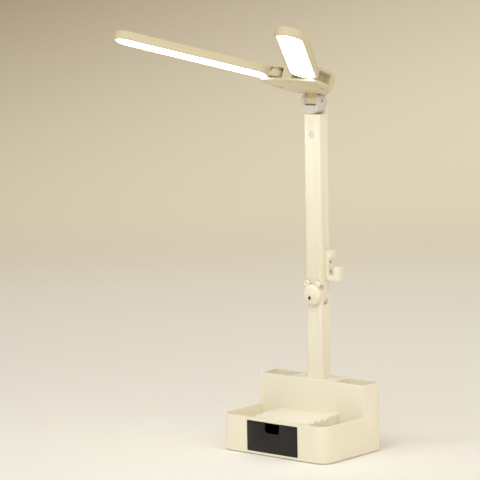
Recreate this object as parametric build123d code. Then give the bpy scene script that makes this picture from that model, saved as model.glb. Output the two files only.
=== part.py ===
from build123d import *
import math
import os

# Desk lamp on an organizer base. +Z is up, the drawer and the light face -Y, and the origin is
# the centre of the base on the desk. All lengths are millimetres, all angles degrees.

# Base shell
base_width = 140.0
base_depth = 94.0
block_depth = 29.0
tray_height = 39.0
block_height = 72.5
front_corner = 13.0
rear_corner = 5.0
wall = 2.2
floor_top = 10.0
floor_thickness = 2.4
top_thickness = 2.4
rim_round = 0.6
bay_width = 54.4
pen_corner = 3.0
pen_margin = 0.3
beyond = 500.0
overcut = 1.0

# Bottom plate, feet, ballast and screws
stand = 1.0
plate_thickness = 2.4
plate_gap = 0.2
foot_radius = 6.0
foot_recess = 0.8
foot_edge = 0.4
foot_inset = 13.0
ballast_gap = 3.3
ballast_inset = 16.0
ballast_thickness = 4.0
plate_screw_inset_x = 20.0
plate_screw_inset_y = 7.0
screw_radius = 1.25
screw_head_radius = 2.4
screw_head_height = 1.4
boss_radius = 3.5
screw_skin = 1.0

# Drawer and phone rest
drawer_width = 67.0
drawer_top = 35.3
drawer_box_height = 26.8
drawer_back_gap = 3.0
drawer_wall = 1.6
drawer_corner = 1.2
opening_corner = 0.8
drawer_gap = 0.4
drawer_lift = 0.3
notch_width = 19.5
notch_depth = 11.0
notch_corner = 4.0
cheek_thickness = 2.2
cheek_gap = 0.5
deck_under = 33.2
shelf_drop = 3.0
shelf_lip = 0.8
shelf_thickness = 1.8
tooth_count = 3
tooth_pitch = 10.0
tooth_depth = 4.0
first_tip_setback = 20.0
shelf_ramp = 2.5

# Column
column_width = 21.0
column_depth = 16.5
column_corner = 3.0
column_setback = 14.5
column_wall = 2.0
socket_wall = 2.0
socket_flange = 2.5
socket_depth = 13.5
socket_boss_length = 6.1
socket_corner = 4.0
wire_radius = 3.0
socket_screw_x = 19.5
socket_screw_y = 6.0
socket_boss_radius = 3.0

# Power pieces in the bay
battery_size = (45.0, 10.0, 30.0)
battery_z = 12.0
board_width = 32.0
board_depth = 11.0
board_thickness = 1.6
board_z = 12.0
post_radius = 2.5
post_x = 12.0
inlet_width = 9.0
inlet_height = 3.2
inlet_length = 7.4
inlet_skin = 0.4
inlet_gap = 0.3

# Folding elbow
elbow_z = 161.0
elbow_gap = 0.3
tongue_thickness = 7.5
bolt_radius = 2.0
bolt_gap = 0.08
bolt_head_radius = 3.6
bolt_head_height = 2.2
key_radius = 1.5
key_depth = 1.4
bolt_end_gap = 0.2
rear_cap_radius = 6.0
rear_cap_height = 1.6
rear_cap_round = 1.0
nut_radius = 3.9
nut_height = 2.4
washer_radius = 7.0
washer_thickness = 0.8
washer_gap = 0.1

# Animal-head cap at the elbow
face_radius = 11.0
face_gap = 0.4
face_rim = 2.4
face_depth = 6.2
face_boss = 2.0
ear_x = 6.9
ear_z = 11.6
ear_radius = 3.6
ear_thickness = 2.6
ear_bowl_radius = 2.6
ear_dish = 0.9
ear_setback = 0.5
nose_radius = 1.6
nose_drop = 2.4
nose_proud = 0.8
nose_length = 3.0
nose_edge = 0.5
nose_point_radius = 0.4
nose_point_drop = 2.2
crown_flat_angle = 4.0

# Upper column fittings
column_top = 350.2
cover_width = 17.0
cover_fit = 0.1
cover_thickness = 2.0
cover_ledge = 1.0
cover_land = 4.0
cover_screw_skin = 2.0
cover_bottom = 178.0
cover_end = 344.0
cover_screw_z = (188.0, 261.0, 334.0)
touch_z = 329.0
touch_radius = 3.6
touch_thickness = 0.6
touch_board_size = (13.0, 1.2, 26.0)
touch_board_z = 314.0

# Side hook
hook_y = 3.0
hook_width = 8.0
hook_low = 176.0
hook_high = 208.0
hook_plate = 4.0
hook_reach = 18.3
hook_tip_high = 191.0
hook_tip_thickness = 7.0
hook_floor = 5.5
hook_nub_low = 199.5
hook_nub_reach = 7.5
hook_chamfer = 3.0
hook_round = 1.6
hook_screw_spread = 10.0
hook_screw_radius = 0.9
hook_screw_head_radius = 1.7
hook_screw_head_height = 1.0

# Swivel knuckle and tilt joint
swivel_z = 363.0
drum_radius = 12.5
drum_front = 9.5
drum_back = 3.5
drum_gap = 0.3
drum_edge = 1.0
lug_crown = 4.2
lug_side = 1.0
swivel_radius = 2.0
swivel_head_radius = 3.4
swivel_head_height = 1.4
swivel_head_gap = 0.2
tilt_forward = 4.5
tilt_rise = 1.5
tilt_slot = 14.5
tilt_slot_gap = 0.25
tilt_wall_rise = 1.5
cheek_round = 5.9
tongue_radius = 4.6
tongue_gap = 0.5
neck_half = 3.2
pin_radius = 1.5
pin_gap = 0.05
pin_cap_radius = 2.6
pin_cap_height = 0.8

# Head hub, measured from the tilt axis
head_pitch = 21.2
pivot_reach = 42.9
led_rise = 9.1
pivot_spread = 38.0
hub_front = 5.0
hub_front_bulge = 1.6
hub_front_half = 37.0
hub_side_half = 39.5
hub_side_back = -13.0
hub_shoulder_half = 35.5
hub_shoulder_back = -28.0
hub_waist_half = 15.5
hub_waist_back = -44.0
hub_tail_half = 10.5
hub_tail_back = -50.0
hub_height = 14.0
hub_roof = 3.4
hub_wall = 2.2
hub_edge = 2.6
hub_floor = 2.5
hub_floor_drop = 0.4
hub_plate_tail = -48.0
pillar_half = 6.2
slot_back = -9.0
slot_side_back = -16.8
slot_side_start = 24.0
slot_side_end = 30.0
hub_screw_side = 27.0
hub_screw_back = -21.2
hub_screw_reach = 6.0
hub_corner_front = 5.0
hub_corner_side = 18.0
hub_corner_shoulder = 12.0
hub_corner_waist = 14.0
hub_corner_tail = 6.0
hinge_pin_skin = 0.8
hinge_pin_cover = 1.6

# Light panels
panel_width = 32.2
panel_reach = 172.8
panel_root = 6.9
panel_thickness = 9.0
panel_split = 5.0
panel_edge = 2.2
panel_rim = 2.4
frame_edge = 0.8
left_swing = 45.6
right_swing = 31.9
tab_radius = 8.0
tab_low = 1.0
tab_high = 7.5
tab_gap = 0.3
hinge_pin_radius = 2.5
hinge_boss_radius = 5.5
diffuser_inset = 0.3
diffuser_thickness = 1.4
diffuser_lap = 1.0
diffuser_fit = 0.1
diffuser_step = 0.4
led_board_thickness = 1.0
led_board_inset = 3.0
led_board_skirt = 1.2
cover_shell = 1.6
led_count = 12
led_size = 2.8
led_height = 0.7

# Values worked out from the sizes above
front_y = -base_depth / 2
rear_y = base_depth / 2
block_front = rear_y - block_depth
plate_top = stand + plate_thickness
floor_under = floor_top - floor_thickness
foot_x = base_width / 2 - foot_inset
foot_y = base_depth / 2 - foot_inset
plate_screw_x = base_width / 2 - plate_screw_inset_x
plate_screw_y = base_depth / 2 - plate_screw_inset_y
tunnel_half = drawer_width / 2 + cheek_gap
cheek_half = tunnel_half + cheek_thickness
ballast_inner = cheek_half + ballast_gap
ballast_outer = base_width / 2 - wall - ballast_gap
rest_front = front_y + wall
deck_top = tray_height
first_tip_y = front_y + first_tip_setback
drawer_bottom = plate_top + drawer_lift
bay_front = block_front + wall
bay_back = rear_y - wall
bay_half = bay_width / 2
bay_top = block_height - top_thickness
drawer_back = block_front - drawer_back_gap
socket_flange_z = bay_top - socket_boss_length - socket_flange
column_foot = socket_flange_z - socket_depth
plate_screw_top = floor_top - screw_skin
socket_screw_top = bay_top + screw_skin
column_y = rear_y - column_setback
column_front = column_y - column_depth / 2
column_back = column_y + column_depth / 2
cover_screw_tip = column_front + column_wall + cover_screw_skin
elbow_radius = column_width / 2
shoulder_z = elbow_z - elbow_radius - elbow_gap
upper_foot_z = elbow_z + elbow_radius + elbow_gap
tongue_front = column_y - tongue_thickness / 2
tongue_back = column_y + tongue_thickness / 2
swivel_front = column_y - drum_front
swivel_back = column_y + drum_back
lug_front = swivel_back + drum_gap
tilt_y = column_y - tilt_forward
tilt_z = swivel_z + tilt_rise
slot_floor_z = tilt_z - tongue_radius - tongue_gap
slot_back_y = tilt_y + tongue_radius + tongue_gap
hub_under = -hub_floor_drop - hub_floor
slot_roof = hub_height - hub_roof
panel_radius = panel_width / 2
panel_tip_u = panel_reach - panel_radius
panel_root_u = panel_root + panel_radius

os.makedirs("parts", exist_ok=True)


def block(x0, x1, y0, y1, z0, z1):
    """Block between two opposite corners."""
    centre = Pos((x0 + x1) / 2, (y0 + y1) / 2, (z0 + z1) / 2)
    return centre * Box(x1 - x0, y1 - y0, z1 - z0)


def rod_x(y, z, x0, x1, radius):
    """Round bar along X."""
    return Pos((x0 + x1) / 2, y, z) * Rot(Y=90) * Cylinder(radius, x1 - x0)


def rod_y(x, z, y0, y1, radius):
    """Round bar along Y."""
    return Pos(x, (y0 + y1) / 2, z) * Rot(X=90) * Cylinder(radius, y1 - y0)


def rod_z(x, y, z0, z1, radius):
    """Round bar along Z."""
    return Pos(x, y, (z0 + z1) / 2) * Cylinder(radius, z1 - z0)


def plate_xz(sketch, y0, y1):
    """Sketch drawn in X and Z, thickened from y0 back to y1."""
    return extrude(Pos(0, y1, 0) * Rot(X=90) * sketch, y1 - y0, dir=(0, -1, 0))


def four_corners(x, y, y_centre=0.0):
    """Places of a rectangle's four corners."""
    return [(side * x, y_centre + end * y) for side in (-1, 1) for end in (-1, 1)]


def screw_up(x, y, z_head, z_tip):
    """Countersunk screw whose head faces down at z_head."""
    head = Cone(screw_head_radius, screw_radius, screw_head_height)
    shank = rod_z(x, y, z_head + screw_head_height, z_tip, screw_radius)
    return Pos(x, y, z_head + screw_head_height / 2) * head + shank


def base_outline(inset=0.0):
    """Outline of the base, drawn in by an inset: wide front corners, tight rear ones."""
    sketch = Rectangle(base_width - 2 * inset, base_depth - 2 * inset)
    sketch = fillet(sketch.vertices().sort_by(Axis.Y)[-2:], rear_corner - inset)
    return fillet(sketch.vertices().sort_by(Axis.Y)[:2], front_corner - inset)


def column_bar(z0, z1, inset=0.0):
    """Length of the column's rounded section, or of the hollow inside it."""
    corner = max(column_corner - inset, 0.6)
    section = RectangleRounded(column_width - 2 * inset, column_depth - 2 * inset, corner)
    return extrude(Pos(0, column_y, z0) * section, z1 - z0)


def make_base_shell():
    """Moulded shell: low front tray, tall rear block with two pen pockets, bay and tunnel."""
    shell = extrude(Pos(0, 0, stand) * base_outline(), block_height - stand)
    shell -= block(-beyond, beyond, -beyond, block_front, tray_height, beyond)
    inside = Pos(0, 0, stand) * base_outline(wall)
    shell -= extrude(inside, plate_thickness)
    hollow = extrude(inside, floor_under - stand)
    shell -= hollow - block(-cheek_half, cheek_half, front_y, bay_front, 0, floor_top)
    shell -= extrude(inside, block_height) & block(-beyond, beyond, front_y, block_front, floor_top, beyond)
    shell -= block(-tunnel_half, tunnel_half, rest_front, block_front, plate_top, floor_top)
    shell -= block(-bay_half, bay_half, bay_front, bay_back, plate_top, bay_top)
    pocket_x0 = bay_half + wall
    pocket_x1 = base_width / 2 - wall - pen_margin
    pocket = RectangleRounded(pocket_x1 - pocket_x0, bay_back - bay_front, pen_corner)
    for side in (-1, 1):
        centre = Pos(side * (pocket_x0 + pocket_x1) / 2, (bay_front + bay_back) / 2, floor_top)
        shell -= extrude(centre * pocket, block_height)
    rims = shell.edges().filter_by_position(Axis.Z, tray_height, tray_height)
    rims += shell.edges().filter_by_position(Axis.Z, block_height, block_height)
    shell = fillet(rims, rim_round)
    opening_top = drawer_top + drawer_gap
    opening = RectangleRounded(drawer_width + 2 * drawer_gap, opening_top - plate_top, opening_corner)
    shell -= plate_xz(Pos(0, (opening_top + plate_top) / 2) * opening, front_y - overcut, rest_front)
    shell -= column_bar(bay_top - overcut, block_height + overcut)
    inlet_z = board_z + board_thickness + inlet_height / 2
    hole = Pos(0, inlet_z) * RectangleRounded(
        inlet_width + 2 * inlet_gap, inlet_height + 2 * inlet_gap, inlet_height / 2
    )
    shell -= plate_xz(hole, bay_back - overcut, rear_y + overcut)
    for x, y in four_corners(plate_screw_x, plate_screw_y):
        shell += rod_z(x, y, plate_top, floor_under, boss_radius)
        shell -= rod_z(x, y, plate_top, plate_screw_top, screw_radius)
    for x, y in four_corners(socket_screw_x, socket_screw_y, column_y):
        shell += rod_z(x, y, socket_flange_z + socket_flange, bay_top, socket_boss_radius)
        shell -= rod_z(x, y, socket_flange_z, socket_screw_top, screw_radius)
    return shell


def make_phone_rest():
    """Housing over the drawer: two cheeks and a deck with saw-tooth grooves for a phone's edge."""
    shelf_top = deck_top - shelf_drop
    shelf_under = shelf_top - shelf_thickness
    shelf_back = first_tip_y - shelf_ramp
    outline = [
        (shelf_back, deck_under),
        (shelf_back, shelf_under),
        (rest_front + shelf_thickness, shelf_under),
        (rest_front, shelf_top - shelf_lip),
        (rest_front, shelf_top),
        (shelf_back, shelf_top),
    ]
    for tooth in range(tooth_count):
        tip_y = first_tip_y + tooth * tooth_pitch
        outline += [(tip_y, deck_top), (tip_y, deck_top - tooth_depth)]
    ledge_y = first_tip_y + tooth_count * tooth_pitch
    outline += [(ledge_y, deck_top), (block_front, deck_top), (block_front, deck_under)]
    profile = make_face(Plane.YZ * Polyline(*outline, close=True))
    rest = extrude(Pos(-cheek_half, 0, 0) * profile, 2 * cheek_half, dir=(1, 0, 0))
    for side in (-1, 1):
        x0, x1 = sorted((side * tunnel_half, side * cheek_half))
        rest += block(x0, x1, rest_front, block_front, floor_top, deck_under)
        rest += block(x0, x1, rest_front, shelf_back, floor_top, shelf_under)
    return rest


def make_drawer():
    """Drawer: flush front with a finger notch, and an open box behind it."""
    front_height = drawer_top - drawer_bottom
    outline = RectangleRounded(drawer_width, front_height, drawer_corner)
    drawer = plate_xz(Pos(0, drawer_bottom + front_height / 2) * outline, front_y, rest_front)
    half = drawer_width / 2
    box_top = drawer_bottom + drawer_box_height
    drawer += block(-half, half, rest_front, drawer_back, drawer_bottom, box_top)
    drawer -= block(
        -half + drawer_wall,
        half - drawer_wall,
        rest_front,
        drawer_back - drawer_wall,
        drawer_bottom + drawer_wall,
        drawer_top,
    )
    notch = Pos(0, drawer_top) * RectangleRounded(notch_width, 2 * notch_depth, notch_corner)
    return drawer - plate_xz(notch, front_y - overcut, rest_front + overcut)


def make_bottom_plate():
    """Flat closing plate with countersinks, foot recesses and posts for the charging board."""
    plate = extrude(Pos(0, 0, stand) * base_outline(wall + plate_gap), plate_thickness)
    for x, y in four_corners(plate_screw_x, plate_screw_y):
        plate -= screw_up(x, y, stand, plate_top + overcut)
    for x, y in four_corners(foot_x, foot_y):
        plate -= rod_z(x, y, stand, stand + foot_recess, foot_radius)
    for side in (-1, 1):
        plate += rod_z(side * post_x, bay_back - board_depth / 2, plate_top, board_z, post_radius)
    return plate


def make_base_feet():
    """Four rubber pads seated in the plate's recesses."""
    pad = fillet(Cylinder(foot_radius, stand + foot_recess).edges().sort_by(Axis.Z)[:1], foot_edge)
    height = (stand + foot_recess) / 2
    return [Pos(x, y, height) * pad for x, y in four_corners(foot_x, foot_y)]


def make_ballast_bars():
    """Two steel bars under the tray floors, which keep the lamp upright."""
    bar = Box(ballast_outer - ballast_inner, base_depth - 2 * ballast_inset, ballast_thickness)
    centre_x = (ballast_inner + ballast_outer) / 2
    return [Pos(side * centre_x, 0, plate_top + ballast_thickness / 2) * bar for side in (-1, 1)]


def make_column_socket():
    """Cup with a flange that holds the foot of the column under the block's top."""
    cup_width = column_width + 2 * socket_wall
    cup_depth = column_depth + 2 * socket_wall
    flange_top = socket_flange_z + socket_flange
    flange_half = socket_screw_x + socket_boss_radius + 1
    cup_front = column_y - cup_depth / 2
    flange = block(-flange_half, flange_half, cup_front, cup_front + cup_depth, socket_flange_z, flange_top)
    cup_low = column_foot - socket_wall
    section = RectangleRounded(cup_width, cup_depth, socket_corner)
    cup = extrude(Pos(0, column_y, cup_low) * section, flange_top - cup_low)
    socket = flange + cup - column_bar(column_foot, flange_top)
    socket -= rod_z(0, column_y, cup_low, column_foot, wire_radius)
    for x, y in four_corners(socket_screw_x, socket_screw_y, column_y):
        socket -= rod_z(x, y, socket_flange_z, flange_top, screw_radius)
    return socket


def make_socket_screws():
    """Pan-head screws that draw the socket up against the shell's bosses."""
    screws = []
    for x, y in four_corners(socket_screw_x, socket_screw_y, column_y):
        head = rod_z(x, y, socket_flange_z - screw_head_height, socket_flange_z, screw_head_radius)
        screws.append(head + rod_z(x, y, socket_flange_z, socket_screw_top, screw_radius))
    return screws


def make_battery_pack():
    """Flat rechargeable cell against the bay's front wall, resting on its foam block."""
    width, depth, height = battery_size
    cell = block(-width / 2, width / 2, bay_front, bay_front + depth, battery_z, battery_z + height)
    cell = fillet(cell.edges().filter_by(Axis.Z), 2)
    foam = block(-width / 4, width / 4, bay_front + 2, bay_front + depth - 2, plate_top, battery_z)
    return cell + foam


def make_charging_board():
    """Circuit board on the plate's posts, with two components."""
    half = board_width / 2
    board = block(-half, half, bay_back - board_depth, bay_back, board_z, board_z + board_thickness)
    top = board_z + board_thickness
    for side in (-1, 1):
        board += block(side * 10 - 2.5, side * 10 + 2.5, bay_back - 8, bay_back - 3, top, top + 2)
    return board


def make_charging_inlet():
    """Charging inlet: a thin oval shell with a contact tongue, open to the rear."""
    z = board_z + board_thickness + inlet_height / 2
    outer = RectangleRounded(inlet_width, inlet_height, inlet_height / 2 - 0.05)
    inner = RectangleRounded(
        inlet_width - 2 * inlet_skin, inlet_height - 2 * inlet_skin, inlet_height / 2 - inlet_skin - 0.05
    )
    y0 = rear_y - 0.4 - inlet_length
    shell = plate_xz(Pos(0, z) * outer, y0, y0 + inlet_length)
    shell -= plate_xz(Pos(0, z) * inner, y0 + 1, y0 + inlet_length)
    return shell + block(-3, 3, y0, y0 + inlet_length - 1, z - 0.35, z + 0.35)


def make_lower_column():
    """Lower column: hollow foot length, and two round-topped cheeks at the elbow."""
    bar = column_bar(column_foot, elbow_z + elbow_radius)
    barrel = rod_y(0, elbow_z, column_front, column_back, elbow_radius)
    bar &= block(-beyond, beyond, -beyond, beyond, 0, elbow_z) + barrel
    slot_front = tongue_front - elbow_gap
    slot_back_face = tongue_back + elbow_gap
    bar -= block(-beyond, beyond, slot_front, slot_back_face, shoulder_z, beyond)
    bar -= column_bar(column_foot, shoulder_z - 2 * column_wall, column_wall)
    bar -= rod_z(0, column_y, shoulder_z - 2 * column_wall, shoulder_z, wire_radius)
    bar -= rod_y(0, elbow_z, column_front, column_back, bolt_radius + bolt_gap)
    bar -= rod_y(0, elbow_z, column_front, column_front + bolt_head_height, bolt_head_radius + bolt_gap)
    return bar - nut_blank(bolt_gap)


def nut_blank(growth=0.0):
    """Hexagon of the elbow nut at the back cheek, grown by a clearance for its pocket."""
    hexagon = Pos(0, elbow_z) * RegularPolygon(nut_radius + growth, 6)
    return plate_xz(hexagon, column_back - nut_height, column_back)


def make_elbow_bolt():
    """Bolt through the elbow, its head flush in the front cheek."""
    bolt = rod_y(0, elbow_z, column_front, column_back - bolt_end_gap, bolt_radius)
    bolt += rod_y(0, elbow_z, column_front, column_front + bolt_head_height, bolt_head_radius)
    socket = Pos(0, elbow_z) * RegularPolygon(key_radius, 6)
    return bolt - plate_xz(socket, column_front, column_front + key_depth)


def make_elbow_washers():
    """Friction washers let into both faces of the tongue."""
    washers = []
    rear_washer_y = tongue_back + elbow_gap - washer_gap - washer_thickness
    for y0 in (tongue_front - elbow_gap + washer_gap, rear_washer_y):
        ring = rod_y(0, elbow_z, y0, y0 + washer_thickness, washer_radius)
        washers.append(ring - rod_y(0, elbow_z, y0, y0 + washer_thickness, bolt_radius + bolt_gap))
    return washers


def make_elbow_rear_cap():
    """Low round cap that hides the nut."""
    cap = rod_y(0, elbow_z, column_back, column_back + rear_cap_height, rear_cap_radius)
    return fillet(cap.edges().sort_by(Axis.Y)[-1:], rear_cap_round)


def dome(radius, rim, depth):
    """Round cushion turned about its axis: short rim, elliptic crown and a small flat, toward -Z."""
    start = 270 + crown_flat_angle
    crown = EllipticalCenterArc((0, -rim), radius, depth - rim, start_angle=start, arc_size=360 - start)
    low = (crown @ 0).Y
    outline = Line((0, 0), (radius, 0)) + Line((radius, 0), (radius, -rim)) + crown
    outline += Line(crown @ 0, (0, low)) + Line((0, low), (0, 0))
    return revolve(Plane.XZ * make_face(outline), Axis.Z)


def facing_front(solid, x, y, z):
    """Turn a solid's -Z face to the front and place its origin."""
    return Pos(x, y, z) * Rot(X=-90) * solid


def make_elbow_face():
    """Animal-head cap over the bolt: domed face and two dished ears."""
    back_y = column_front - face_gap
    face = facing_front(dome(face_radius, face_rim, face_depth), 0, back_y, elbow_z)
    face += rod_y(0, elbow_z, back_y, column_front, bolt_head_radius + face_boss)
    for side in (-1, 1):
        ear = dome(ear_radius, ear_thickness / 2, ear_thickness)
        ear -= Pos(0, 0, -ear_thickness - ear_bowl_radius + ear_dish) * Sphere(ear_bowl_radius)
        face += facing_front(ear, side * ear_x, back_y - ear_setback, elbow_z + ear_z)
    return face - nose_blank()


def nose_blank():
    """Drop outline, a round with a small point under it, as deep as the nose's pocket."""
    point = Pos(0, -nose_point_drop) * Circle(nose_point_radius)
    outline = make_hull((Circle(nose_radius) + point).edges())
    nose_front = column_front - face_gap - face_depth - nose_proud
    return plate_xz(Pos(0, elbow_z - nose_drop) * outline, nose_front, nose_front + nose_length)


def make_nose():
    """Dark nose pressed into its pocket, with a soft front edge."""
    nose = nose_blank()
    return fillet(nose.faces().sort_by(Axis.Y)[0].edges(), nose_edge)


def make_upper_column():
    """Upper column: channel with a tongue at the elbow, a ledge and a lug for the knuckle on top."""
    bar = column_bar(elbow_z - elbow_radius, swivel_z + lug_crown)
    barrel = rod_y(0, elbow_z, column_front, column_back, elbow_radius)
    bar &= block(-beyond, beyond, -beyond, beyond, elbow_z, beyond) + barrel
    bar -= block(-beyond, beyond, -beyond, tongue_front, 0, upper_foot_z)
    bar -= block(-beyond, beyond, tongue_back, beyond, 0, upper_foot_z)
    bar -= block(-beyond, beyond, -beyond, lug_front, column_top, beyond)
    crown = ThreePointArc(
        (-elbow_radius, swivel_z + lug_side), (0, swivel_z + lug_crown), (elbow_radius, swivel_z + lug_side)
    )
    sky = Polyline(
        (elbow_radius, swivel_z + lug_side),
        (elbow_radius, beyond),
        (-elbow_radius, beyond),
        (-elbow_radius, swivel_z + lug_side),
    )
    bar -= plate_xz(make_face(crown + sky), lug_front - overcut, column_back + overcut)
    cavity_half = cover_width / 2 - cover_ledge
    cavity_front = column_front + column_wall
    cavity_low = cover_bottom + cover_land
    bar -= block(-cavity_half, cavity_half, cavity_front, beyond, cavity_low, cover_end - cover_land)
    rebate_half = cover_width / 2
    bar -= block(-rebate_half, rebate_half, column_back - cover_thickness, beyond, cover_bottom, cover_end)
    bar -= rod_z(0, column_y, elbow_z + washer_radius + column_wall, cavity_low + overcut, wire_radius)
    for z in cover_screw_z:
        bar += rod_y(0, z, cavity_front, column_back - cover_thickness, boss_radius)
        bar -= rod_y(0, z, cover_screw_tip, column_back, screw_radius)
    bar -= rod_y(0, elbow_z, column_front, column_back, bolt_radius + bolt_gap)
    recess = washer_thickness + washer_gap - elbow_gap
    bar -= rod_y(0, elbow_z, tongue_front, tongue_front + recess, washer_radius + washer_gap)
    bar -= rod_y(0, elbow_z, tongue_back - recess, tongue_back, washer_radius + washer_gap)
    bar -= rod_y(0, touch_z, column_front, column_front + touch_thickness, touch_radius)
    for z in hook_screw_heights():
        bar -= hook_screw(z)
    bar -= rod_y(0, swivel_z, lug_front, column_back, swivel_radius)
    return bar - rod_y(0, swivel_z, column_back - swivel_head_height, column_back, swivel_head_radius)


def make_column_back_cover():
    """Long cover strip let into the back of the upper column."""
    half = cover_width / 2 - cover_fit
    y0 = column_back - cover_thickness
    strip = block(-half, half, y0, column_back, cover_bottom + cover_fit, cover_end - cover_fit)
    for z in cover_screw_z:
        strip -= cover_screw(z)
    return strip


def cover_screw(z):
    """Countersunk screw from the back into a boss of the upper column."""
    head = Pos(0, column_back - screw_head_height / 2, z) * Rot(X=-90) * Cone(
        screw_radius, screw_head_radius, screw_head_height
    )
    return head + rod_y(0, z, cover_screw_tip, column_back - screw_head_height, screw_radius)


def make_touch_board():
    """Touch sensor board bonded to the inside of the column's front wall."""
    width, depth, height = touch_board_size
    y0 = column_front + column_wall
    z0 = touch_board_z - height / 2
    return block(-width / 2, width / 2, y0, y0 + depth, z0, z0 + height)


def make_side_hook():
    """Hook on the column's right face: back plate, upper nub and an upturned arm."""
    x0 = column_width / 2
    x1 = x0 + hook_plate
    tip_x0 = x0 + hook_reach - hook_tip_thickness
    tip_x1 = x0 + hook_reach
    floor_z = hook_low + hook_floor
    outline = Polyline(
        (x0, hook_low + hook_chamfer),
        (x0, hook_high),
        (x0 + hook_nub_reach, hook_high),
        (x0 + hook_nub_reach, hook_nub_low),
        (x1, hook_nub_low),
        (x1, floor_z),
        (tip_x0, floor_z),
        (tip_x0, hook_tip_high),
        (tip_x1, hook_tip_high),
        (tip_x1, hook_low),
        (x0 + hook_chamfer, hook_low),
        close=True,
    )
    centre_y = column_y + hook_y
    hook = plate_xz(make_face(outline), centre_y - hook_width / 2, centre_y + hook_width / 2)
    rounded = [edge for edge in hook.edges().filter_by(Axis.Y) if edge.center().X > x0 + hook_round / 2]
    hook = fillet(rounded, hook_round)
    for z in hook_screw_heights():
        hook -= hook_screw(z)
    return hook


def hook_screw_heights():
    """Heights of the two screws in the hook's back plate."""
    middle = (hook_nub_low + hook_low + hook_floor) / 2
    return (middle - hook_screw_spread / 2, middle + hook_screw_spread / 2)


def hook_screw(z):
    """Small screw through the hook's plate into the column's wall."""
    x0 = (column_width - column_wall) / 2
    x1 = column_width / 2 + hook_plate
    head_x = x1 - hook_screw_head_height
    shank = rod_x(column_y + hook_y, z, x0, head_x, hook_screw_radius)
    return shank + rod_x(column_y + hook_y, z, head_x, x1, hook_screw_head_radius)


def make_knuckle():
    """Swivel drum: round about the column's front-back axis, slotted for the head's tongue."""
    drum = rod_y(0, swivel_z, swivel_front, swivel_back, drum_radius)
    drum = fillet(drum.edges().sort_by(Axis.Y)[:1], drum_edge)
    wall_top = tilt_z + tilt_wall_rise
    cheeks = rod_x(tilt_y, tilt_z, -drum_radius, drum_radius, cheek_round)
    drum &= block(-beyond, beyond, -beyond, beyond, 0, wall_top) + cheeks
    half = tilt_slot / 2
    drum -= block(-half, half, -beyond, slot_back_y, slot_floor_z, beyond)
    drum -= block(-half, half, -beyond, beyond, wall_top, beyond)
    drum -= rod_y(0, swivel_z, slot_back_y, swivel_back, swivel_radius)
    drum -= rod_x(tilt_y, tilt_z, -drum_radius, drum_radius, pin_radius)
    return drum


def make_swivel_screw():
    """Shoulder screw through the lug, threaded into the drum's rear wall."""
    screw = rod_y(0, swivel_z, slot_back_y, column_back - swivel_head_height, swivel_radius - pin_gap)
    head_y = column_back - swivel_head_height
    head = rod_y(0, swivel_z, head_y, column_back, swivel_head_radius - swivel_head_gap)
    key = Pos(0, swivel_z) * RegularPolygon(key_radius, 6)
    return screw + head - plate_xz(key, head_y + swivel_head_height / 2, column_back)


def pin_half():
    """Half length of the tilt pin, which ends inside the drum's round side."""
    lift = tilt_z - swivel_z
    return math.sqrt(drum_radius ** 2 - (lift + pin_cap_radius) ** 2) - pin_cap_height


def make_tilt_pin():
    """Steel pin that the head tilts on."""
    return rod_x(tilt_y, tilt_z, -pin_half(), pin_half(), pin_radius)


def in_head(solid):
    """Place a solid, drawn level about the tilt axis, at the head's resting pitch."""
    return Pos(0, tilt_y, tilt_z) * Rot(X=-head_pitch) * solid


def on_led_plane(solid):
    """Move a solid drawn about the midpoint of the panel pivots to its place ahead of the tilt axis."""
    return Pos(0, -pivot_reach, led_rise) * solid


def hub_outline():
    """Shield outline of the hub seen from above: bulged front, full sides, narrow round tail."""
    right = [
        (hub_front_half, -hub_front),
        (hub_side_half, -hub_side_back),
        (hub_shoulder_half, -hub_shoulder_back),
        (hub_waist_half, -hub_waist_back),
        (hub_tail_half, -hub_tail_back),
    ]
    left = [(-x, y) for x, y in reversed(right)]
    sides = Polyline(*(right + left))
    front = ThreePointArc(left[-1], (0, -hub_front - hub_front_bulge), right[0])
    sketch = make_face(sides + front)
    radii = [hub_corner_front, hub_corner_side, hub_corner_shoulder, hub_corner_waist, hub_corner_tail]
    for (x, y), radius in zip(right, radii):
        corners = [v for v in sketch.vertices() if abs(abs(v.X) - x) < 0.01 and abs(v.Y - y) < 0.01]
        sketch = fillet(corners, radius)
    return sketch


def slot_region(side):
    """Ground plan of the space one panel's root swings through, open at the front and outer side."""
    points = [
        (pillar_half, -beyond),
        (pillar_half, -slot_back),
        (slot_side_start, -slot_back),
        (slot_side_end, -slot_side_back),
        (beyond, -slot_side_back),
        (beyond, -beyond),
    ]
    return make_face(Polyline(*[(side * x, y) for x, y in points], close=True))


def hub_screw_places():
    """Places of the three hub screws: one in the pillar, two behind the slots."""
    return [(0, 0), (-hub_screw_side, -hub_screw_back), (hub_screw_side, -hub_screw_back)]


def make_hub_cover():
    """Upper hub cover: roof over both panel roots, hollow behind the slots."""
    outline = hub_outline()
    low = -hub_floor_drop
    cover = extrude(Pos(0, 0, low) * outline, hub_height - low)
    cover = fillet(cover.faces().sort_by(Axis.Z)[-1].edges(), hub_edge)
    inner = extrude(Pos(0, 0, low) * offset(outline, -hub_wall), slot_roof - low)
    cover -= inner & block(-beyond, beyond, -slot_side_back + hub_wall, beyond, low, slot_roof)
    for side in (-1, 1):
        cover -= extrude(Pos(0, 0, low) * slot_region(side), slot_roof - low)
        cover += rod_z(side * pivot_spread / 2, 0, tab_high + tab_gap, slot_roof, hinge_boss_radius)
        cover -= rod_z(side * pivot_spread / 2, 0, tab_high, hub_height - hinge_pin_cover, hinge_pin_radius)
    for x, y in hub_screw_places():
        if y != 0:
            cover += rod_z(x, y, low, slot_roof, boss_radius)
        cover -= rod_z(x, y, low, low + hub_screw_reach + screw_skin, screw_radius)
    return in_head(on_led_plane(cover))


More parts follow.
